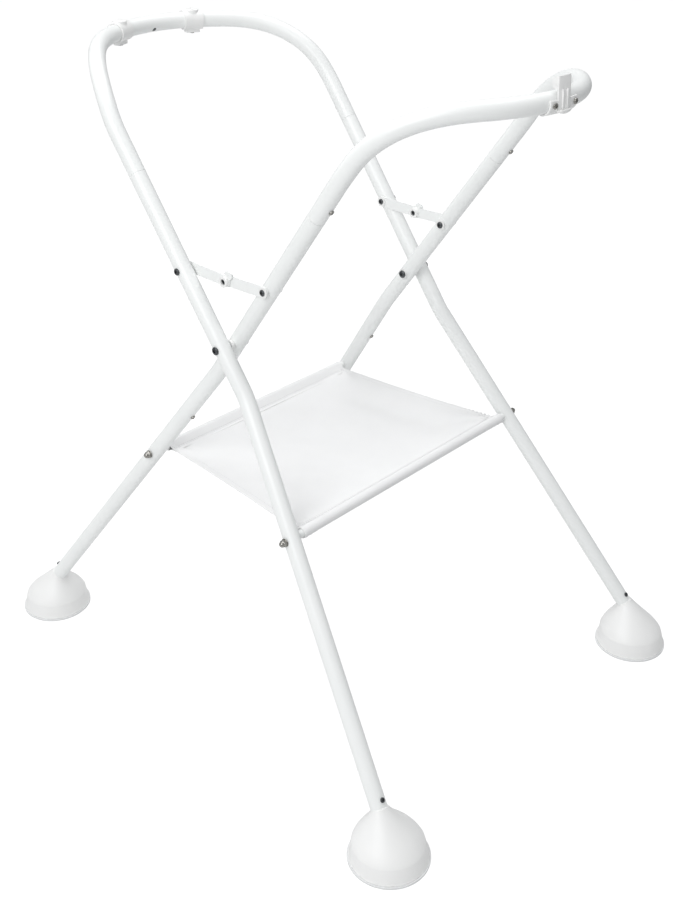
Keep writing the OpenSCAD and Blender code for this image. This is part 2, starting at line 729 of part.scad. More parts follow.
// The catch: a half shell under the tube, a tongue on its outer face that stands up above
// the tube with a gusset at each side, upright ribs, and a lip along the bottom
catch_bend_r = crown_r(inner_half_w, catch_y, catch_len);
module along_catch(y) {
    translate([-catch_bend_r, 0, 0]) rotate([0, 0, asin(y / catch_bend_r)])
        translate([catch_bend_r, 0, 0]) children();
}
module catch_screw_place() {
    along_catch(tongue_w / 2 - tongue_y + screw_head_d / 2 + catch_screw_gap)
        rotate([0, 90 + catch_screw_drop, 0]) children();
}
module tub_catch() {
    back = tube_r + grip_clear;
    shell_edge = 4;
    lip_t = 2;
    lip_z = -10;
    color(plastic) on_bow(false, catch_y, catch_len) difference() {
        union() {
            along_bow(catch_bend_r, catch_len) difference() {
                grip_section();
                translate([-tube_d, shell_edge]) square(2 * tube_d);
            }
            difference() {
                along_catch(tongue_y) {
                    along_bow(catch_bend_r, tongue_w) {
                        translate([back, lip_z]) square([tongue_t, tube_r + tongue_up - lip_z]);
                        translate([back - 1, lip_z]) square([tongue_t + 1 + lip_out, lip_t]);
                    }
                    catch_hood(back);
                    for (i = [0:rib_count - 1])
                        along_catch((i - (rib_count - 1) / 2) * rib_pitch) catch_rib(back + tongue_t);
                }
                along_bow(catch_bend_r, catch_len) circle(r = grip_mid_r);
            }
        }
        both_sides() catch_screw_place() cylinder(d = screw_d + 2 * bolt_clear, h = tube_d * 2);
    }
}
// The hood is a small box behind the top of the tongue, open at its top
module catch_hood(back) {
    wall = 2;
    slope = 3;
    low = tube_r + hood_gap;
    high = tube_r + tongue_up;
    front = back + tongue_t / 2;
    rear = back - hood_reach;
    difference() {
        translate([0, tongue_w / 2, 0]) rotate([90, 0, 0]) linear_extrude(tongue_w)
            polygon([[front, low], [front, high - 0.5], [rear, high - slope], [rear, low]]);
        translate([rear + wall, -tongue_w / 2 + wall, low + wall])
            cube([back - rear - 2 * wall, tongue_w - 2 * wall, high]);
    }
}
module catch_rib(face) {
    rib_t = 1.6;
    rib_low = -7;
    rib_top = 15;
    translate([face - 1, -rib_t / 2, rib_low]) cube([rib_out + 1, rib_t, rib_top - rib_low]);
}
module tub_catch_screws() {
    seat = grip_r + 0.6;
    color(steel) on_bow(false, catch_y, catch_len) both_sides() catch_screw_place()
        translate([0, 0, seat]) bolt(screw_d, seat - bore_r + 4, screw_head_d, 2.2);
}

color(paint) bow(true);  // outer_bow
color(paint) on_side(true) leg(true);  // outer_leg_front
color(paint) on_side(false) leg(true);  // outer_leg_rear
bow_screws(true);  // outer_bow_screws
leg_screws(true);  // outer_leg_screws
foot(true, true);  // foot_outer_front
foot(true, false);  // foot_outer_rear
foot_soles(true);  // outer_foot_soles
foot_screws(true);  // outer_foot_screws
tray_bar(true);  // outer_tray_bar
bar_plugs(true);  // outer_bar_plugs
tray_bolts(true);  // outer_tray_bolts
pivot_bolts();
pivot_spacers();
pivot_rings();
pivot_nuts();
brace_bolts(true);  // outer_brace_bolts
brace_rings(true);  // outer_brace_rings
tub_saddle(true);  // tub_saddle_front
tub_saddle(false);  // tub_saddle_rear
tub_saddle_screws();
tray_fabric();
color(paint) bow(false);  // inner_bow
color(paint) on_side(true) leg(false);  // inner_leg_front
color(paint) on_side(false) leg(false);  // inner_leg_rear
bow_screws(false);  // inner_bow_screws
leg_screws(false);  // inner_leg_screws
foot(false, true);  // foot_inner_front
foot(false, false);  // foot_inner_rear
foot_soles(false);  // inner_foot_soles
foot_screws(false);  // inner_foot_screws
tray_bar(false);  // inner_tray_bar
bar_plugs(false);  // inner_bar_plugs
tray_bolts(false);  // inner_tray_bolts
brace_bolts(false);  // inner_brace_bolts
brace_rings(false);  // inner_brace_rings
tub_catch();
tub_catch_screws();
brace_outer(true);  // brace_outer_front
brace_outer(false);  // brace_outer_rear
brace_inner(true);  // brace_inner_front
brace_inner(false);  // brace_inner_rear
brace_cap(true, true);  // brace_cap_outer_front
brace_cap(true, false);  // brace_cap_outer_rear
brace_cap(false, true);  // brace_cap_inner_front
brace_cap(false, false);  // brace_cap_inner_rear
brace_pin(true, true);  // brace_pin_outer_front
brace_pin(true, false);  // brace_pin_outer_rear
brace_pin(false, true);  // brace_pin_inner_front
brace_pin(false, false);  // brace_pin_inner_rear
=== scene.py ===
"""The looks of a folding stand for a baby bath: white tube frames, domed feet, cloth tray."""
import json
import math

import bmesh
import bpy
from mathutils import Matrix, Vector


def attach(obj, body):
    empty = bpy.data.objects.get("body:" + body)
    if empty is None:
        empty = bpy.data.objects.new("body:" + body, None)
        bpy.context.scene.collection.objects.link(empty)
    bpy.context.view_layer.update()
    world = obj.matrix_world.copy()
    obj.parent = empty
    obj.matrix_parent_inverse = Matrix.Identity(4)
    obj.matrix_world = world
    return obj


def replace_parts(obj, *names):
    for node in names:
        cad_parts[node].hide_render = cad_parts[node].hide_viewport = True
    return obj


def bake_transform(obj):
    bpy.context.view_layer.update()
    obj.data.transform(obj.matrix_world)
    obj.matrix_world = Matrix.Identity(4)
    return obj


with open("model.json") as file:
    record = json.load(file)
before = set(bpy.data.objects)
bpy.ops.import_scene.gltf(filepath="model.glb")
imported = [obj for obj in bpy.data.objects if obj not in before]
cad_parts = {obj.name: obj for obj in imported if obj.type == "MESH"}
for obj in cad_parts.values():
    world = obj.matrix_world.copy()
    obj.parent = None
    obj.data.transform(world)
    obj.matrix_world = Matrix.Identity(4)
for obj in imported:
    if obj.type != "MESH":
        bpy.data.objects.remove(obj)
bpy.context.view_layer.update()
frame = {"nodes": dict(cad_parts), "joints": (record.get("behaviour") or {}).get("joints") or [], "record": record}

bpy.ops.object.select_all(action="DESELECT")

MM = 0.001

# Driving sizes, the same as the metal and plastic parts have -----------------
JOINTS = {joint["name"]: joint for joint in frame["joints"]}
PIVOT_Z = JOINTS["frame_fold"]["pos_m"][2]
LEAN = math.radians(36.2)
TUBE_R = 12.5 * MM
FRAME_GAP = 5 * MM
OUTER_HALF = 219.5 * MM
INNER_HALF = OUTER_HALF - 2 * TUBE_R - FRAME_GAP

BEND_BELOW = 77.4 * MM
SPLAY = math.radians(9.85)
LOWER_LEN = 601.4 * MM

BOW_SEAM = 270.8 * MM
BOW_START = 331.6 * MM
BOW_REACH = 223.2 * MM
BOW_POWER = 2 / 1.92
ROLL_START = 367.9 * MM
ROLL_R = 169 * MM
ROLL_ANGLE = math.radians(50.4)

NECK_Z = 76.8 * MM
FOOT_OUT = 21.3 * MM
FOOT_SIDE = 1.8 * MM
SOLE_T = 4 * MM

TRAY_Z = 388 * MM
BAR_R = 6.5 * MM
BAR_X = (PIVOT_Z - TRAY_Z) * math.tan(LEAN)


def side_name(outer):
    """The word for a frame in the names of its pieces."""
    return "outer" if outer else "inner"


def half_width(outer):
    """Distance from the middle of the stand to the middle of a frame's tube."""
    return OUTER_HALF if outer else INNER_HALF


def frame_axes(outer, front):
    """Axes of one side of a frame: Z up the leg, X out of its underside, Y to its own side."""
    place = Matrix.Translation((0, 0, PIVOT_Z)) @ Matrix.Rotation(LEAN, 4, "Y")
    if outer:
        place = Matrix.Scale(-1, 4, (1, 0, 0)) @ place
    if front:
        place = Matrix.Scale(-1, 4, (0, 1, 0)) @ place
    return place


def lower_leg_axes(outer, front):
    """The same axes turned along the splayed lower leg, with the origin at the bend."""
    bend = Matrix.Translation((0, half_width(outer), -BEND_BELOW))
    return frame_axes(outer, front) @ bend @ Matrix.Rotation(SPLAY, 4, "X")


# Colours and nodes -----------------------------------------------------------
WAVES_PER_METRE = 3.18      # of a wave texture at scale 1


def srgb(code):
    """A hex colour as a linear colour with alpha."""
    parts = [int(code[i:i + 2], 16) / 255 for i in (1, 3, 5)]
    return [p / 12.92 if p <= 0.04045 else ((p + 0.055) / 1.055) ** 2.4 for p in parts] + [1]


def add_node(tree, kind, inputs=None, links=None, **settings):
    """Adds a node, with its settings, socket values and incoming links."""
    node = tree.nodes.new(kind)
    for name, value in settings.items():
        setattr(node, name, value)
    for socket, value in (inputs or {}).items():
        node.inputs[socket].default_value = value
    for socket, source in (links or {}).items():
        tree.links.new(source, node.inputs[socket])
    return node


def new_material(name):
    """An empty material and its tree of nodes."""
    material = bpy.data.materials.new(name)
    material.use_nodes = True
    tree = material.node_tree
    tree.nodes.clear()
    return material, tree


def close_material(tree, shader):
    """Sends a shader to the surface."""
    add_node(tree, "ShaderNodeOutputMaterial", links={"Surface": shader.outputs[0]})


# Materials -------------------------------------------------------------------
def powder_coat():
    """White polyester powder coat, baked on steel: an even satin gloss over a faint orange peel."""
    material, tree = new_material("powder_coated_steel")
    place = add_node(tree, "ShaderNodeTexCoord")
    # The peel of a coat this thick is 1.5 to 3 mm across
    peel = add_node(tree, "ShaderNodeTexNoise", {"Scale": 1 / (2.2 * MM), "Detail": 2},
                    {"Vector": place.outputs["Object"]})
    cloud = add_node(tree, "ShaderNodeTexNoise", {"Scale": 1 / (90 * MM), "Detail": 3},
                     {"Vector": place.outputs["Object"]})
    colour = add_node(tree, "ShaderNodeMixRGB", {1: srgb("#F4F5F4"), 2: srgb("#EDEFEE")},
                      {0: cloud.outputs["Fac"]})
    gloss = add_node(tree, "ShaderNodeMapRange", {"To Min": 0.26, "To Max": 0.36},
                     {"Value": cloud.outputs["Fac"]})
    bump = add_node(tree, "ShaderNodeBump", {"Strength": 0.05, "Distance": 0.03 * MM},
                    {"Height": peel.outputs["Fac"]})
    shader = add_node(tree, "ShaderNodeBsdfPrincipled", {"IOR": 1.5},
                      {"Base Color": colour.outputs[0], "Roughness": gloss.outputs[0],
                       "Normal": bump.outputs[0]})
    close_material(tree, shader)
    return material


def moulded_plastic():
    """White polypropylene, injection moulded: softer gloss and a fine spark-eroded grain."""
    material, tree = new_material("moulded_polypropylene")
    place = add_node(tree, "ShaderNodeTexCoord")
    # Real mould grain is 0.2 mm; it is drawn at 0.9 mm so that it shows at all
    grain = add_node(tree, "ShaderNodeTexNoise", {"Scale": 1 / (0.9 * MM), "Detail": 3},
                     {"Vector": place.outputs["Object"]})
    flow = add_node(tree, "ShaderNodeTexNoise", {"Scale": 1 / (60 * MM), "Detail": 2},
                    {"Vector": place.outputs["Object"]})
    colour = add_node(tree, "ShaderNodeMixRGB", {1: srgb("#F3F3F2"), 2: srgb("#EDEDEC")},
                      {0: flow.outputs["Fac"]})
    gloss = add_node(tree, "ShaderNodeMapRange", {"To Min": 0.36, "To Max": 0.48},
                     {"Value": grain.outputs["Fac"]})
    bump = add_node(tree, "ShaderNodeBump", {"Strength": 0.08, "Distance": 0.04 * MM},
                    {"Height": grain.outputs["Fac"]})
    shader = add_node(tree, "ShaderNodeBsdfPrincipled", {"IOR": 1.49},
                      {"Base Color": colour.outputs[0], "Roughness": gloss.outputs[0],
                       "Normal": bump.outputs[0]})
    close_material(tree, shader)
    return material


def zinc_steel():
    """Black zinc-plated steel of bolts and screws: dark, with turning marks and bright wear."""
    material, tree = new_material("black_zinc_steel")
    place = add_node(tree, "ShaderNodeTexCoord")
    streak = add_node(tree, "ShaderNodeTexNoise", {"Scale": 1 / (0.8 * MM), "Detail": 4},
                      {"Vector": place.outputs["Object"]})
    colour = add_node(tree, "ShaderNodeMixRGB", {1: srgb("#46484A"), 2: srgb("#6D6F71")},
                      {0: streak.outputs["Fac"]})
    gloss = add_node(tree, "ShaderNodeMapRange", {"To Min": 0.28, "To Max": 0.45},
                     {"Value": streak.outputs["Fac"]})
    shader = add_node(tree, "ShaderNodeBsdfPrincipled", {"Metallic": 1},
                      {"Base Color": colour.outputs[0], "Roughness": gloss.outputs[0]})
    close_material(tree, shader)
    return material


def nickel_steel():
    """Nickel-plated steel of the tray's bolts and the small screws: a bright, scuffed mirror."""
    material, tree = new_material("nickel_plated_steel")
    place = add_node(tree, "ShaderNodeTexCoord")
    scuff = add_node(tree, "ShaderNodeTexNoise", {"Scale": 1 / (1.2 * MM), "Detail": 4},
                     {"Vector": place.outputs["Object"]})
    # Both colours are darker than bare nickel: painted reflection of dark surroundings, which the white studio
    # lacks; the scuffs mix between them
    colour = add_node(tree, "ShaderNodeMixRGB", {1: srgb("#7D7B77"), 2: srgb("#B9B7B2")},
                      {0: scuff.outputs["Fac"]})
    gloss = add_node(tree, "ShaderNodeMapRange", {"To Min": 0.14, "To Max": 0.3},
                     {"Value": scuff.outputs["Fac"]})
    shader = add_node(tree, "ShaderNodeBsdfPrincipled", {"Metallic": 1},
                      {"Base Color": colour.outputs[0], "Roughness": gloss.outputs[0]})
    close_material(tree, shader)
    return material


def grip_rubber():
    """Light grey thermoplastic rubber of the soles: matt, with a dusty bloom."""
    material, tree = new_material("grip_rubber")
    place = add_node(tree, "ShaderNodeTexCoord")
    dust = add_node(tree, "ShaderNodeTexNoise", {"Scale": 1 / (4 * MM), "Detail": 4},
                    {"Vector": place.outputs["Object"]})
    colour = add_node(tree, "ShaderNodeMixRGB", {1: srgb("#E9EAEA"), 2: srgb("#DEDFDF")},
                      {0: dust.outputs["Fac"]})
    bump = add_node(tree, "ShaderNodeBump", {"Strength": 0.2, "Distance": 0.1 * MM},
                    {"Height": dust.outputs["Fac"]})
    shader = add_node(tree, "ShaderNodeBsdfPrincipled", {"Roughness": 0.7},
                      {"Base Color": colour.outputs[0], "Normal": bump.outputs[0]})
    close_material(tree, shader)
    return material


def woven_cloth():
    """White polyester plain weave: matt threads over and under, with painted shade in the gaps between them, and a
    soft sheen.
    """
    material, tree = new_material("woven_polyester")
    place = add_node(tree, "ShaderNodeTexCoord")
    # Real threads lie 0.5 mm apart; they are drawn at 1.6 mm so that the weave shows
    pitch = 1.6 * MM
    bands = 1 / (pitch * WAVES_PER_METRE)
    warp, weft = [add_node(tree, "ShaderNodeTexWave", {"Scale": bands, "Distortion": 0.4},
                           {"Vector": place.outputs["UV"]}, bands_direction=way)
                  for way in ("X", "Y")]
    weave = add_node(tree, "ShaderNodeMath", {},
                     {0: warp.outputs["Fac"], 1: weft.outputs["Fac"]}, operation="MULTIPLY")
    cloud = add_node(tree, "ShaderNodeTexNoise", {"Scale": 1 / (45 * MM), "Detail": 3},
                     {"Vector": place.outputs["Object"]})
    plain = add_node(tree, "ShaderNodeMixRGB", {1: srgb("#F8F8F8"), 2: srgb("#F2F2F2")},
                     {0: cloud.outputs["Fac"]})
    # Painted shade: the gaps between the threads are darkened, as shade falls into them
    between = add_node(tree, "ShaderNodeMapRange", {"To Min": 0.3, "To Max": 0.0},
                       {"Value": weave.outputs[0]})
    colour = add_node(tree, "ShaderNodeMixRGB", {2: srgb("#DCDCDC")},
                      {0: between.outputs[0], 1: plain.outputs[0]}, blend_type="MULTIPLY")
    bump = add_node(tree, "ShaderNodeBump", {"Strength": 0.3, "Distance": 0.2 * MM},
                    {"Height": weave.outputs[0]})
    shader = add_node(tree, "ShaderNodeBsdfPrincipled",
                      {"Roughness": 0.85, "Sheen Weight": 0.25, "Sheen Roughness": 0.5},
                      {"Base Color": colour.outputs[0], "Normal": bump.outputs[0]})
    close_material(tree, shader)
    return material


def sewing_thread():
    """Polyester sewing thread: two plies twisted, with painted shade along the grooves between them, a little
    greyer than the cloth.
    """
    material, tree = new_material("sewing_thread")
    place = add_node(tree, "ShaderNodeTexCoord")
    # The plies turn once in 1.4 mm
    ply_shade = add_node(tree, "ShaderNodeTexWave", {"Scale": 1 / (1.4 * MM * WAVES_PER_METRE)},
                   {"Vector": place.outputs["Object"]}, bands_direction="DIAGONAL")
    # Painted shade: the darker bands lie along the grooves between the plies
    colour = add_node(tree, "ShaderNodeMixRGB", {1: srgb("#E4E4E4"), 2: srgb("#C6C6C8")},
                      {0: ply_shade.outputs["Fac"]})
    shader = add_node(tree, "ShaderNodeBsdfPrincipled", {"Roughness": 0.6},
                      {"Base Color": colour.outputs[0]})
    close_material(tree, shader)
    return material


PAINT = powder_coat()
PLASTIC = moulded_plastic()
STEEL = zinc_steel()
NICKEL = nickel_steel()
RUBBER = grip_rubber()
CLOTH = woven_cloth()
THREAD = sewing_thread()

# What each material slot of the metal and plastic parts is finished in
FINISHES = {"white_paint": PAINT, "white_plastic": PLASTIC, "dark_steel": STEEL,
            "sole_rubber": RUBBER, "white_cloth": CLOTH}
SLOTS = {part["node"]: part["material_slot"] for part in frame["record"]["subparts"]}
BODIES = {name: body for body, names in frame["record"]["behaviour"]["bodies"].items()
          for name in names}
# Steel pieces that are nickel plated, where the others are black zinc plated
PLATED = ("outer_tray_bolts", "inner_tray_bolts", "outer_leg_screws", "inner_leg_screws",
          "outer_bow_screws", "inner_bow_screws", "tub_catch_screws", "tub_saddle_screws")


def finish_of(name):
    """The material of one of the stand's nodes."""
    return NICKEL if name in PLATED else FINISHES[SLOTS[name]]


def finish_cad_nodes():
    """Gives every node of the stand its material."""
    for name, node in frame["nodes"].items():
        node.data.materials.clear()
        node.data.materials.append(finish_of(name))


# Modelling helpers -----------------------------------------------------------
SMOOTH_ANGLE = math.radians(35)         # edges sharper than this stay sharp
CLOTH_SMOOTH_ANGLE = math.radians(60)


def settle(name, material):
    """Names the active object, puts its place into its mesh and gives it its finish."""
    piece = bpy.context.object
    bpy.ops.object.transform_apply(location=True, rotation=True, scale=True)
    piece.name = name
    piece.data.name = name
    piece.data.materials.clear()
    piece.data.materials.append(material)
    return piece


def put(piece, place):
    """Moves a finished piece's mesh, and keeps its faces outwards after a mirror."""
    piece.data.transform(place)
    if place.determinant() < 0:
        piece.data.flip_normals()
    piece.data.update()
    return piece


def tube(name, points, radii, r, material, sides=12):
    """A closed round tube along a line of points, with a factor on its radius at each."""
    bpy.ops.object.select_all(action="DESELECT")
    bpy.ops.curve.primitive_nurbs_path_add(location=(0, 0, 0))
    curve = bpy.context.object.data
    curve.splines.clear()
    line = curve.splines.new("POLY")
    line.points.add(len(points) - 1)
    for spot, point, factor in zip(line.points, points, radii):
        spot.co = (*point, 1)
        spot.radius = factor
    curve.bevel_depth = r
    curve.bevel_resolution = sides
    curve.use_fill_caps = True
    curve.twist_mode = "MINIMUM"
    bpy.ops.object.convert(target="MESH")
    piece = settle(name, material)
    bpy.ops.object.mode_set(mode="EDIT")
    bpy.ops.mesh.select_all(action="SELECT")
    bpy.ops.mesh.remove_doubles(threshold=0.01 * MM)
    bpy.ops.mesh.normals_make_consistent(inside=False)
    bpy.ops.object.mode_set(mode="OBJECT")
    bpy.ops.object.shade_smooth_by_angle(angle=SMOOTH_ANGLE)
    return piece


def loft(name, rings, material, sides=96):
    """Stacks level rings, given as (radius, x, y, z), by extruding a circle upwards."""
    bpy.ops.object.select_all(action="DESELECT")
    r, x, y, z = rings[0]
    bpy.ops.mesh.primitive_circle_add(vertices=sides, radius=r, location=(x, y, z))
    bpy.ops.object.mode_set(mode="EDIT")
    for ring in rings[1:]:
        step = (ring[1] - x, ring[2] - y, ring[3] - z)
        bpy.ops.mesh.extrude_region_move(TRANSFORM_OT_translate={"value": step})
        bpy.ops.transform.resize(value=(ring[0] / r,) * 3, center_override=ring[1:])
        r, x, y, z = ring
    bpy.ops.mesh.edge_face_add()
    bpy.ops.mesh.select_all(action="SELECT")
    bpy.ops.mesh.normals_make_consistent(inside=False)
    bpy.ops.object.mode_set(mode="OBJECT")
    bpy.ops.object.shade_smooth_by_angle(angle=SMOOTH_ANGLE)
    return settle(name, material)


# Edges of the moulded pieces that hold the bath -------------------------------
EDGE_BROKEN = ("tub_catch", "tub_saddle_front", "tub_saddle_rear")
EDGE_BREAK = 0.45 * MM


def broken_edges(node, edge):
    """The same piece with its sharp edges broken, as its mould leaves them."""
    bpy.ops.object.select_all(action="DESELECT")
    piece = bpy.data.objects.new(f"{node}_finished", frame["nodes"][node].data.copy())
    bpy.context.collection.objects.link(piece)
    bpy.context.view_layer.objects.active = piece
    piece.select_set(True)
    bpy.ops.object.mode_set(mode="EDIT")
    bpy.ops.mesh.select_all(action="SELECT")
    bpy.ops.mesh.remove_doubles(threshold=0.005 * MM)
    bpy.ops.mesh.dissolve_limited(angle_limit=math.radians(0.5))
    bpy.ops.object.mode_set(mode="OBJECT")
    bevel = piece.modifiers.new("edge", "BEVEL")
    bevel.width = edge
    bevel.segments = 2
    bevel.limit_method = "ANGLE"
    bevel.angle_limit = math.radians(40)
    bpy.ops.object.modifier_apply(modifier="edge")
    bpy.ops.object.shade_smooth_by_angle(angle=SMOOTH_ANGLE)
    settle(f"{node}_finished", finish_of(node))
    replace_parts(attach(piece, BODIES[node]), node)


# Bows ------------------------------------------------------------------------
SEAM_CHAMFER = 0.7 * MM
BOW_STEPS = 180


def rolled(s, y):
    """A point of the flat sheet, with the sheet rolled outwards."""
    if s <= ROLL_START:
        return Vector((0, y, s))
    turn = min((s - ROLL_START) / ROLL_R, ROLL_ANGLE)
    rest = max(s - ROLL_START - ROLL_R * ROLL_ANGLE, 0)
    return Vector((ROLL_R * (1 - math.cos(turn)) + rest * math.sin(turn), y,
                   ROLL_START + ROLL_R * math.sin(turn) + rest * math.cos(turn)))


def crown(outer):
    """The middle of a bow's tube, where it reaches furthest."""
    return frame_axes(outer, False) @ rolled(BOW_START + BOW_REACH, 0)


def bow(outer):
    """A bow's tube, with a chamfer where it meets the legs' shoulders."""
    w = half_width(outer)
    points = [Vector((0, w, BOW_SEAM)), Vector((0, w, BOW_SEAM + SEAM_CHAMFER))]
    for i in range(BOW_STEPS + 1):
        t = math.pi * i / BOW_STEPS
        y = math.copysign(w * abs(math.cos(t)) ** BOW_POWER, math.cos(t))
        points.append(rolled(BOW_START + BOW_REACH * max(math.sin(t), 0) ** BOW_POWER, y))
    points += [Vector((0, -w, BOW_SEAM + SEAM_CHAMFER)), Vector((0, -w, BOW_SEAM))]
    radii = [1 - SEAM_CHAMFER / TUBE_R] + [1] * (len(points) - 2) + [1 - SEAM_CHAMFER / TUBE_R]
    side = side_name(outer)
    piece = tube(f"{side}_bow_tube", points, radii, TUBE_R, PAINT, 14)
    put(piece, frame_axes(outer, False))
    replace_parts(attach(piece, f"{side}_frame"), f"{side}_bow")


# Painted shade of the vent hole in the outer bow ------------------------------
VENT_SHADE_R = 3.6 * MM
VENT_SHADE_Y = -2 * MM
VENT_SHADE_TURN = math.radians(-40)       # round the tube, from level down
VENT_SHADE_RISE = 0.12 * MM
VENT_SHADE_RINGS = 3


def bow_vent_shade():
    """A small dark disc in the middle of the outer bow, on its inner and lower side: painted shade inside the vent
    hole there.
    """
    bpy.ops.object.select_all(action="DESELECT")
    bpy.ops.mesh.primitive_circle_add(vertices=28, radius=VENT_SHADE_R, fill_type="NGON")
    bpy.ops.object.mode_set(mode="EDIT")
    bpy.ops.mesh.select_all(action="SELECT")
    for _ in range(VENT_SHADE_RINGS):
        bpy.ops.mesh.inset(thickness=VENT_SHADE_R * 0.22)
    bpy.ops.object.mode_set(mode="OBJECT")
    # The dark steel finish is painted shade: it stands in for the shaded inside of the hole
    piece = settle("outer_bow_vent", STEEL)
    middle = crown(True)
    # The flat disc is laid round the tube, a little proud of the paint
    for vertex in piece.data.vertices:
        along, round_tube = vertex.co.x, vertex.co.y
        r = TUBE_R + VENT_SHADE_RISE * min(1, 3 * (1 - math.hypot(along, round_tube) / VENT_SHADE_R))
        angle = VENT_SHADE_TURN + round_tube / TUBE_R
        vertex.co = (middle.x + r * math.cos(angle), VENT_SHADE_Y + along,
                     middle.z + r * math.sin(angle))
    bpy.ops.object.mode_set(mode="EDIT")
    bpy.ops.mesh.select_all(action="SELECT")
    bpy.ops.mesh.normals_make_consistent(inside=False)
    bpy.ops.object.mode_set(mode="OBJECT")
    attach(piece, "outer_frame")


# Lip of the catch --------------------------------------------------------------
LIP_AT = Vector((13.9 * MM, -13.5 * MM, 0))    # middle of the lip from the crown of the bow
LIP_HALF = 12.5 * MM
LIP_TOP = -8 * MM
LIP_SQUASH = 0.42
LIP_EDGE = 0.4 * MM
# From the keel up: share of the half width, and depth under the top
LIP_FORM = ((0.3, 5 * MM), (0.62, 4.2 * MM), (0.86, 2.9 * MM), (0.97, 1.7 * MM), (1, 0.8 * MM),
            (1, LIP_EDGE))


def catch_lip():
    """The boat-shaped lip that stands out at the foot of the catch's tongue."""
    rings = [(LIP_HALF * share, 0, 0, LIP_TOP - depth) for share, depth in LIP_FORM]
    rings.append((LIP_HALF - LIP_EDGE, 0, 0, LIP_TOP))
    piece = loft("tub_catch_lip", rings, PLASTIC, 64)
    upright = Matrix.Rotation(LEAN + ROLL_ANGLE - math.pi / 2, 4, "Y")
    put(piece, Matrix.Translation(crown(False)) @ upright @ Matrix.Translation(LIP_AT)
        @ Matrix.Diagonal((LIP_SQUASH, 1, 1, 1)))
    bpy.ops.object.shade_smooth_by_angle(angle=SMOOTH_ANGLE)
    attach(piece, "inner_frame")


# Feet ------------------------------------------------------------------------
SKIRT_R = 57 * MM
SKIRT_TOP_R = 52.6 * MM
SKIRT_H = 28 * MM
SKIRT_STEPS = 6
BEAD_R = 0.6 * MM
BEAD_H = 2.4 * MM
BEAD_STEPS = 8
DOME_H = 68.5 * MM
DOME_CUT = 0.985            # the dome's top ring lies at this share of its height
DOME_RISE = 1.15
DOME_FULL = 1.9
DOME_LEAN = 2.4
DOME_STEPS = 30
CREASE_ANGLE = math.radians(13)

NECK_START = 44 * MM        # height where the dome begins to draw up into the neck
NECK_LEVEL = 58 * MM
NECK_POWER = 1.6
NECK_PAST_END = 1.2 * MM
SEAT_R = 14.3 * MM
SEAT_CLEAR = 0.1 * MM
SEAT_DEPTH = 26 * MM
SEAT_EDGE = 0.9 * MM


def dome_ring(z):
    """Radius and lean of the foot at height z: a flared skirt, a crease, and the dome."""
    lean = 1 - (z / NECK_Z) ** DOME_LEAN
    if z <= SKIRT_H:
        return SKIRT_R + (SKIRT_TOP_R - SKIRT_R) * (z - SOLE_T) / (SKIRT_H - SOLE_T), lean
    up = (z - SKIRT_H) / (DOME_H - SKIRT_H)
    return SKIRT_TOP_R * (1 - up ** DOME_RISE) ** (1 / DOME_FULL), lean


def foot_rings(end_x, end_y):
    """Level rings of a foot under the end of its leg: a rolled bead, the skirt and the dome."""
    levels = [(SOLE_T + BEAD_H * i / BEAD_STEPS, BEAD_R * math.sin(math.pi * i / BEAD_STEPS))
              for i in range(BEAD_STEPS + 1)]
    skirt = SKIRT_H - SOLE_T - BEAD_H
    levels += [(SOLE_T + BEAD_H + skirt * i / SKIRT_STEPS, 0) for i in range(1, SKIRT_STEPS + 1)]
    dome = DOME_H * DOME_CUT - SKIRT_H
    levels += [(SKIRT_H + dome * math.sin(math.pi / 2 * i / DOME_STEPS), 0)
               for i in range(1, DOME_STEPS + 1)]
    rings = []
    for z, bead in levels:
        radius, lean = dome_ring(z)
        rings.append((radius + bead, end_x + FOOT_OUT * lean, end_y + FOOT_SIDE * lean, z))
    return rings


def neck(piece, rings, w, end_x, end_y):
    """Draws the top of the dome up and over to the end of the tube, so that it grows out of it."""
    leg = lower_leg_axes(True, False)
    along = (leg.to_3x3() @ Vector((0, 0, 1))).normalized()
    end = leg @ Vector((0, 0, -LOWER_LEN - NECK_PAST_END)) + Vector((0, w - OUTER_HALF, 0))
    across = (Vector((1, 0, 0)) - along * along.x).normalized()
    side = along.cross(across)
    top = rings[-1][3]
    for vertex in piece.data.vertices:
        if vertex.co.z <= NECK_START:
            continue
        ring = min(rings, key=lambda one: abs(one[3] - vertex.co.z))
        angle = math.atan2(vertex.co.y - ring[2], vertex.co.x - ring[1])
        rim = end + (across * math.cos(angle) + side * math.sin(angle)) * (SEAT_R - SEAT_CLEAR)
        rise = (ring[3] - NECK_START) / (top - NECK_START)
        level = NECK_START + (NECK_LEVEL - NECK_START) * rise
        radius, lean = dome_ring(level)
        dome = Vector((end_x + FOOT_OUT * lean + radius * math.cos(angle),
                       end_y + FOOT_SIDE * lean + radius * math.sin(angle), level))
        vertex.co = dome.lerp(rim, rise ** NECK_POWER)


def foot(outer, front):
    """One foot with its collar, modelled under the outer frame's rear leg and mirrored."""
    w = half_width(outer)
    leg_drop = BEND_BELOW + LOWER_LEN * math.cos(SPLAY)
    end_x = leg_drop * math.sin(LEAN)
    end_y = w + LOWER_LEN * math.sin(SPLAY)
    rings = foot_rings(end_x, end_y)
    side = side_name(outer)
    end = "front" if front else "rear"
    piece = loft(f"foot_{side}_{end}_shell", rings, PLASTIC)
    neck(piece, rings, w, end_x, end_y)
    bpy.ops.object.shade_smooth_by_angle(angle=CREASE_ANGLE)
    put(piece, Matrix.Diagonal((1 if outer else -1, -1 if front else 1, 1, 1)))
    levels = (-LOWER_LEN - SEAT_DEPTH, -LOWER_LEN - SEAT_EDGE, -LOWER_LEN)
    collar = tube(f"foot_{side}_{end}_collar", [Vector((0, 0, z)) for z in levels],
                  [1, 1, 1 - SEAT_EDGE / SEAT_R], SEAT_R, PLASTIC)
    put(collar, lower_leg_axes(outer, front))
    for part in (piece, collar):
        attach(part, f"{side}_frame")
    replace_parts(piece, f"foot_{side}_{end}")


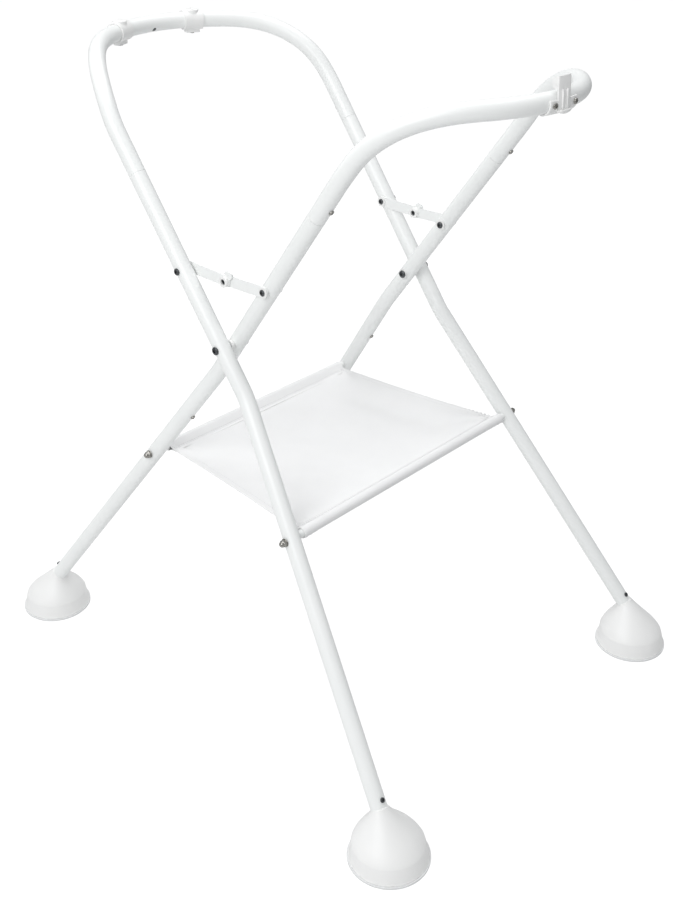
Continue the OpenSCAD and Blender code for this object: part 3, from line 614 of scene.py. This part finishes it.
# Tray: its sizes ---------------------------------------------------------------
CLOTH_T = 0.7 * MM
LAYER = 0.75 * MM           # two sewn layers lie this far apart
FOLD_R = LAYER / 2
SLEEVE_R = 7.75 * MM        # middle of the cloth round a bar
SEAM_IN = 13 * MM           # from a bar's middle to the seam that closes its sleeve
SEAM_X = BAR_X - SEAM_IN
SPAN_HALF = BAR_X - BAR_R - 0.9 * MM
TAIL = 10 * MM              # cloth left beyond that seam
HEM = 12 * MM               # cloth turned under at a side edge
HEM_RAMP = 4 * MM           # over which the tail drops to lie under a hem

CLOTH_INNER_HALF = 203 * MM
CLOTH_OUTER_HALF = 236 * MM
CLOTH_SAG = 15 * MM
# At the front edge (-1) and the tauter rear one (1)
EDGE_SAG = {-1: 7 * MM, 1: 1.5 * MM}
EDGE_DRAW = {-1: 9 * MM, 1: 3 * MM}
# A shallow fold runs from bar to bar beside each edge
FOLD_DEPTH = 5 * MM
FOLD_AT = 0.7
FOLD_WIDTH = 0.13

# Pulls that run out of the corners
PULL_DEPTH = 1.1 * MM
PULL_WAVES = 9
PULL_FADE = 70 * MM
PULL_START = 25 * MM
# Gathers beside the seams near the corners, and along the hems near the outer bar
GATHER_PITCH = 7.5 * MM
GATHER_REACH = 40 * MM
SEAM_GATHER = 1.5 * MM
SEAM_GATHER_FADE = 11 * MM
HEM_GATHER = 1.9 * MM
HEM_GATHER_FADE = 8 * MM
HEM_GATHER_FROM = 80 * MM
HEM_GATHER_FULL = 50 * MM
HEM_GATHER_END = 8 * MM
SLEEVE_GATHER = 0.5 * MM

HEM_STITCH = 10 * MM
FIRST_STITCH = 0.6 * MM     # from the seam to the first row of stitches
SECOND_STITCH = 3.5 * MM    # and to the second
STITCH_DENT = 0.35 * MM
STITCH_DENT_WIDTH = 1.3 * MM
STITCH_LEN = 3.2 * MM
STITCH_PITCH = 4.6 * MM
STITCH_MARGIN = 2 * MM
THREAD_R = 0.32 * MM

SPAN_ROWS = 130
SPAN_COLUMNS = 110
TAIL_STEPS = 4
UNDER_STEPS = 5
ROUND_STEPS = 24
OVER_STEPS = 6
HEM_STEPS = 5
FOLD_STEPS = 4


# Tray: its shape ---------------------------------------------------------------
def smooth(low, high, value):
    """Eases from 0 at low to 1 at high."""
    k = min(max((value - low) / (high - low), 0), 1)
    return k * k * (3 - 2 * k)


def half_cloth(x, side):
    """Distance from the middle of the tray to its front or rear edge."""
    u = (x / SPAN_HALF + 1) / 2
    arch = max(4 * u * (1 - u), 0)
    return CLOTH_INNER_HALF + (CLOTH_OUTER_HALF - CLOTH_INNER_HALF) * u \
        - EDGE_DRAW[side] * arch


def cloth_height(x, y):
    """Height of the cloth's middle between the two seams, above the line of the bars."""
    side = 1 if y > 0 else -1
    half = half_cloth(x, side)
    v = y / half
    u = (x / SPAN_HALF + 1) / 2
    arch = max(4 * u * (1 - u), 0)
    drop = arch * (CLOTH_SAG + (EDGE_SAG[side] - CLOTH_SAG) * v * v)
    drop += FOLD_DEPTH * math.sin(math.pi * u) * math.exp(-((v - FOLD_AT) / FOLD_WIDTH) ** 2)
    for sx, sy in ((1, 1), (1, -1), (-1, 1), (-1, -1)):
        dx = (sx * SPAN_HALF - x) * sx
        dy = half - y * sy
        away = math.hypot(dx, dy)
        drop += PULL_DEPTH * math.sin(PULL_WAVES * math.atan2(dy, dx + 1 * MM)) \
            * math.exp(-away / PULL_FADE) * smooth(0, PULL_START, away)
    seam = SEAM_X - abs(x)
    inset = half - abs(y)
    corner = smooth(GATHER_REACH, 0, inset)
    drop += SEAM_GATHER * math.sin(math.tau * y / GATHER_PITCH) * corner \
        * math.exp(-seam / SEAM_GATHER_FADE)
    drop += HEM_GATHER * math.sin(math.tau * x / GATHER_PITCH) * math.exp(-inset / HEM_GATHER_FADE) \
        * smooth(BAR_X - HEM_GATHER_FROM, BAR_X - HEM_GATHER_FULL, x) \
        * smooth(0, HEM_GATHER_END, seam)
    # The thread pulls the cloth down along each row of stitches
    for row in (inset - HEM_STITCH, seam - SECOND_STITCH):
        drop += STITCH_DENT * math.exp(-(row / STITCH_DENT_WIDTH) ** 2)
    return -drop


def sleeve_path():
    """The cloth from its tail under the seam, round a bar and back up to the seam.
    Each step is (kind, a, tangent): a is a place across the bar, a share or an angle."""
    tangent = math.acos(SLEEVE_R / SEAM_IN)
    steps = [("tail", -(SEAM_IN + TAIL) + TAIL * i / TAIL_STEPS, 0) for i in range(TAIL_STEPS + 1)]
    steps += [("under", i / UNDER_STEPS, tangent) for i in range(1, UNDER_STEPS)]
    for i in range(ROUND_STEPS + 1):
        angle = math.pi - tangent - (math.tau - 2 * tangent) * i / ROUND_STEPS
        steps.append(("round", angle, tangent))
    steps += [("over", i / OVER_STEPS, tangent) for i in range(1, OVER_STEPS)]
    return steps


def sleeve_point(step, y, half, seam_z):
    """Place of one step of the sleeve from the bar's middle, and the direction it faces."""
    kind, a, tangent = step
    inset = half - abs(y)
    gap = LAYER + 2 * LAYER * smooth(HEM + HEM_RAMP, HEM, inset)
    if kind == "tail":
        return a, seam_z - gap, 0, -1
    touch_x, touch_z = -SLEEVE_R * math.cos(tangent), SLEEVE_R * math.sin(tangent)
    if kind == "under":
        x = -SEAM_IN + (touch_x + SEAM_IN) * a
        z = (seam_z - gap) + (-touch_z - seam_z + gap) * a
        return x, z, -math.cos(tangent), -math.sin(tangent)
    if kind == "over":
        x = touch_x + (-SEAM_IN - touch_x) * a
        z = touch_z + (seam_z - touch_z) * a
        return x, z, -math.cos(tangent), math.sin(tangent)
    ripple = SLEEVE_GATHER * (1 + math.sin(math.tau * y / GATHER_PITCH)) \
        * smooth(GATHER_REACH, 0, inset)
    # Angles run from under the seam's side, round the outside, to above it
    nx, nz = math.cos(a), -math.sin(a)
    return nx * (SLEEVE_R + ripple), nz * (SLEEVE_R + ripple), nx, nz


def cloth_rows():
    """Rows along the cloth, as (side, step): a sleeve, the stretch between the seams, a sleeve."""
    sleeve = sleeve_path()
    rows = [(-1, step) for step in sleeve]
    rows += [(0, SEAM_X * (2 * i / SPAN_ROWS - 1)) for i in range(SPAN_ROWS + 1)]
    return rows + [(1, step) for step in reversed(sleeve)]


def cloth_columns():
    """Columns across the cloth, as (v, inset, layer): the hem's under side, its fold, the top."""
    side = [(HEM - i * (HEM - FOLD_R) / HEM_STEPS, 1.0) for i in range(HEM_STEPS)]
    side += [(FOLD_R * (1 - math.sin(math.pi * i / FOLD_STEPS)),
              (1 + math.cos(math.pi * i / FOLD_STEPS)) / 2) for i in range(FOLD_STEPS + 1)]
    front = [(-1, inset, layer) for inset, layer in side]
    top = [(2 * i / SPAN_COLUMNS - 1, None, 0) for i in range(1, SPAN_COLUMNS)]
    return front + top + [(1, inset, layer) for inset, layer in reversed(side)]


def cloth_spot(row, column):
    """Where the cloth's mesh has the corner of one row and one column."""
    side, step = row
    v, inset, layer = column
    x = step if side == 0 else side * SEAM_X
    half = half_cloth(x if side == 0 else side * SPAN_HALF, 1 if v > 0 else -1)
    y = v * (half - FOLD_R) if inset is None else v * (half - inset)
    if side == 0:
        px, pz, nx, nz = x, cloth_height(x, y), 0, 1
    else:
        across, pz, nx, nz = sleeve_point(step, y, half, cloth_height(x, y))
        px, nx = side * (BAR_X + across), side * nx
    back = layer * LAYER
    return Vector((px - nx * back, y, TRAY_Z + pz - nz * back))


def hang(piece):
    """Puts the piece's place into its mesh."""
    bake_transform(piece)
    return piece


def tray():
    """The cloth with a sleeve round each bar and a hem at each side, and its stitching."""
    rows, columns = cloth_rows(), cloth_columns()
    bpy.ops.object.select_all(action="DESELECT")
    bpy.ops.mesh.primitive_grid_add(x_subdivisions=len(rows) - 1, y_subdivisions=len(columns) - 1,
                                    size=2)
    piece = settle("tray_cloth", CLOTH)
    spots = {(i, j): cloth_spot(row, column)
             for i, row in enumerate(rows) for j, column in enumerate(columns)}
    order = {}
    for vertex in piece.data.vertices:
        i = round((vertex.co.x + 1) / 2 * (len(rows) - 1))
        j = round((vertex.co.y + 1) / 2 * (len(columns) - 1))
        order[vertex.index] = (i, j)
        vertex.co = spots[i, j]
    # The weave's map measures the cloth itself: along its middle, and across it
    lengths, middle = [0], len(columns) // 2
    for i in range(1, len(rows)):
        lengths.append(lengths[-1] + (spots[i, middle] - spots[i - 1, middle]).length)
    weave_map = piece.data.uv_layers.active.data
    for loop in piece.data.loops:
        i, j = order[loop.vertex_index]
        weave_map[loop.index].uv = (lengths[i], spots[i, j].y + columns[j][2] * 2 * HEM)
    thicken = piece.modifiers.new("thickness", "SOLIDIFY")
    thicken.thickness = CLOTH_T
    thicken.offset = 0
    bpy.ops.object.modifier_apply(modifier="thickness")
    bpy.ops.object.shade_smooth_by_angle(angle=CLOTH_SMOOTH_ANGLE)
    hang(piece)
    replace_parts(piece, "tray_fabric")
    thread = stitches()


# Tray: its stitching -------------------------------------------------------------
def on_cloth(x, y):
    """A point of a stitch that is half sunk in the cloth's upper face."""
    return Vector((x, y, TRAY_Z + cloth_height(x, y) + CLOTH_T / 2 + THREAD_R * 0.5))


def stitch_rows():
    """Both ends of every stitch: two rows along each bar's seam and one along each hem."""
    for side in (1, -1):
        for row in (FIRST_STITCH, SECOND_STITCH):
            x = side * (SEAM_X - row)
            front = STITCH_MARGIN - half_cloth(x, -1)
            rear = half_cloth(x, 1) - STITCH_MARGIN
            for i in range(int((rear - front) / STITCH_PITCH)):
                y = front + STITCH_PITCH * (i + 0.5)
                yield on_cloth(x, y - STITCH_LEN / 2), on_cloth(x, y + STITCH_LEN / 2)
        for i in range(int(2 * SEAM_X / STITCH_PITCH)):
            ends = [-SEAM_X + STITCH_PITCH * (i + 0.5) + k * STITCH_LEN / 2 for k in (-1, 1)]
            yield [on_cloth(x, side * (half_cloth(x, side) - HEM_STITCH)) for x in ends]


def stitches():
    """One stitch, modelled once and copied along every row."""
    bpy.ops.object.select_all(action="DESELECT")
    bpy.ops.mesh.primitive_cylinder_add(vertices=6, radius=THREAD_R, depth=STITCH_LEN)
    bpy.ops.object.mode_set(mode="EDIT")
    bpy.ops.mesh.select_all(action="SELECT")
    bpy.ops.mesh.bevel(offset=THREAD_R * 0.7, segments=1, affect="EDGES")
    bpy.ops.object.mode_set(mode="OBJECT")
    one = bpy.context.object.data.copy()
    one.transform(Matrix.Rotation(math.pi / 2, 4, "Y"))
    piece = settle("tray_stitching", THREAD)
    whole = bmesh.new()
    for start, end in stitch_rows():
        turn = Vector((1, 0, 0)).rotation_difference(end - start).to_matrix().to_4x4()
        stitch = one.copy()
        stitch.transform(Matrix.Translation((start + end) / 2) @ turn)
        whole.from_mesh(stitch)
        bpy.data.meshes.remove(stitch)
    whole.to_mesh(piece.data)
    whole.free()
    bpy.data.meshes.remove(one)
    bpy.ops.object.shade_smooth_by_angle(angle=CLOTH_SMOOTH_ANGLE)
    return hang(piece)


# Cap nuts on the bars' bolts -----------------------------------------------------
NUT_SEAT = {True: 268.8 * MM, False: 238.8 * MM}    # outer face of the leg, from the middle
WASHER_R = 6.4 * MM
WASHER_T = 1.2 * MM
WASHER_EDGE = 0.2 * MM
HEX_R = 5.8 * MM
HEX_TOP = 5.4 * MM
HEX_EDGE = 0.4 * MM
HEX_LOW_R = HEX_R - 0.5 * MM
HEX_TOP_R = HEX_R - 0.6 * MM
CAP_R = 4.7 * MM
CAP_TOP = 10.2 * MM
CAP_SINK = 0.2 * MM
CAP_STEPS = 12


def cap_nut(name):
    """A washer, a hexagon with its corners turned off, and a dome, standing on Z."""
    washer = loft(name, [(WASHER_R - WASHER_EDGE, 0, 0, 0), (WASHER_R, 0, 0, WASHER_EDGE),
                         (WASHER_R, 0, 0, WASHER_T - WASHER_EDGE),
                         (WASHER_R - WASHER_EDGE, 0, 0, WASHER_T)], NICKEL, 36)
    hexagon = loft(f"{name}_hexagon",
                   [(HEX_LOW_R, 0, 0, WASHER_T), (HEX_R, 0, 0, WASHER_T + HEX_EDGE),
                    (HEX_R, 0, 0, HEX_TOP - HEX_EDGE), (HEX_TOP_R, 0, 0, HEX_TOP)], NICKEL, 6)
    round_top = CAP_TOP - CAP_R
    rings = [(CAP_R, 0, 0, HEX_TOP - CAP_SINK)]
    for i in range(CAP_STEPS):
        angle = math.pi / 2 * i / CAP_STEPS
        rings.append((CAP_R * math.cos(angle), 0, 0, round_top + CAP_R * math.sin(angle)))
    dome = loft(f"{name}_dome", rings, NICKEL, 36)
    bpy.ops.object.select_all(action="DESELECT")
    for part in (washer, hexagon, dome):
        part.select_set(True)
    bpy.context.view_layer.objects.active = washer
    bpy.ops.object.join()
    return washer


def bar_nuts(outer):
    """A cap nut at each end of a bar, in place of the plain heads of its bolts."""
    side = side_name(outer)
    x = BAR_X if outer else -BAR_X
    for way, end in ((-1, "front"), (1, "rear")):
        nut = cap_nut(f"{side}_tray_nut_{end}")
        seat = Matrix.Translation((x, way * NUT_SEAT[outer], TRAY_Z))
        nut.data.transform(seat @ Matrix.Rotation(-way * math.pi / 2, 4, "X"))
        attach(nut, f"{side}_frame")
    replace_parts(nut, f"{side}_tray_bolts")


# Camera, lights and floor ----------------------------------------------------
# The view of the photograph, as fitted to the outlines in it
AZIMUTH = math.radians(43.06)
ELEVATION = math.radians(29.59)
ROLL = math.radians(-0.16)
EYE = Vector((1.1412, -1.2025, 1.3018))
LENS = 46.356
SENSOR = 36


def camera():
    """The camera at the photograph's own view."""
    right = Vector((math.cos(AZIMUTH), math.sin(AZIMUTH), 0))
    back = Vector((math.sin(AZIMUTH) * math.cos(ELEVATION),
                   -math.cos(AZIMUTH) * math.cos(ELEVATION), math.sin(ELEVATION)))
    up = back.cross(right)
    across = right * math.cos(ROLL) + up * math.sin(ROLL)
    upright = up * math.cos(ROLL) - right * math.sin(ROLL)
    bpy.ops.object.camera_add(location=EYE)
    eye = bpy.context.object
    eye.matrix_world = Matrix((
        (across.x, upright.x, back.x, EYE.x),
        (across.y, upright.y, back.y, EYE.y),
        (across.z, upright.z, back.z, EYE.z),
        (0, 0, 0, 1)))
    eye.data.lens = LENS
    eye.data.sensor_width = SENSOR
    eye.data.clip_end = 100
    bpy.context.scene.camera = eye


def softbox(name, place, aim, size, power):
    """A square area light that looks from one point to another."""
    bpy.ops.object.light_add(type="AREA", location=place)
    lamp = bpy.context.object
    lamp.name = name
    lamp.rotation_euler = (Vector(aim) - Vector(place)).to_track_quat("-Z", "Y").to_euler()
    lamp.data.shape = "SQUARE"
    lamp.data.size = size
    lamp.data.energy = power


def studio():
    """Three soft lights in pale air, which the camera sees as white."""
    softbox("key_light", place=(0.7, -2.5, 2.4), aim=(0, 0, 0.6), size=2.0, power=49)
    softbox("top_light", place=(-0.4, 0.4, 3.2), aim=(0, 0, 0.4), size=2.6, power=46)
    softbox("fill_light", place=(-2.4, -0.7, 1.7), aim=(0, 0, 0.6), size=1.8, power=6)
    world = bpy.data.worlds.new("studio_air")
    bpy.context.scene.world = world
    world.use_nodes = True
    tree = world.node_tree
    tree.nodes.clear()
    path = add_node(tree, "ShaderNodeLightPath")
    soft = add_node(tree, "ShaderNodeBackground", {"Color": srgb("#F4F6F8"), "Strength": 0.44})
    white = add_node(tree, "ShaderNodeBackground", {"Color": srgb("#FFFFFF"), "Strength": 1})
    shown = add_node(tree, "ShaderNodeMixShader", {},
                     {0: path.outputs["Is Camera Ray"], 1: soft.outputs[0], 2: white.outputs[0]})
    add_node(tree, "ShaderNodeOutputWorld", links={"Surface": shown.outputs[0]})


def floor():
    """A plain pale sheet, just under the soles."""
    bpy.ops.object.select_all(action="DESELECT")
    bpy.ops.mesh.primitive_plane_add(size=60, location=(0, 0, -0.2 * MM))
    sheet = bpy.context.object
    sheet.name = "studio_floor"
    material, tree = new_material("floor_paper")
    path = add_node(tree, "ShaderNodeLightPath")
    paper = add_node(tree, "ShaderNodeBsdfDiffuse", {"Color": srgb("#E8E8E8")})
    # The camera sees a white sheet on which only a faint part of the shadow is left
    shadow = add_node(tree, "ShaderNodeBsdfDiffuse", {"Color": srgb("#7C7C7C")})
    glow = add_node(tree, "ShaderNodeEmission", {"Color": srgb("#FFFFFF"), "Strength": 0.93})
    lit = add_node(tree, "ShaderNodeAddShader", {}, {0: shadow.outputs[0], 1: glow.outputs[0]})
    shown = add_node(tree, "ShaderNodeMixShader", {},
                     {0: path.outputs["Is Camera Ray"], 1: paper.outputs[0], 2: lit.outputs[0]})
    close_material(tree, shown)
    sheet.data.materials.append(material)


camera()
studio()
floor()
finish_cad_nodes()
for outer_side in (True, False):
    bow(outer_side)
    for front_side in (True, False):
        foot(outer_side, front_side)
tray()
for moulded_piece in EDGE_BROKEN:
    broken_edges(moulded_piece, EDGE_BREAK)
for outer_side in (True, False):
    bar_nuts(outer_side)
bow_vent_shade()
catch_lip()
bpy.context.scene.view_settings.view_transform = "Standard"
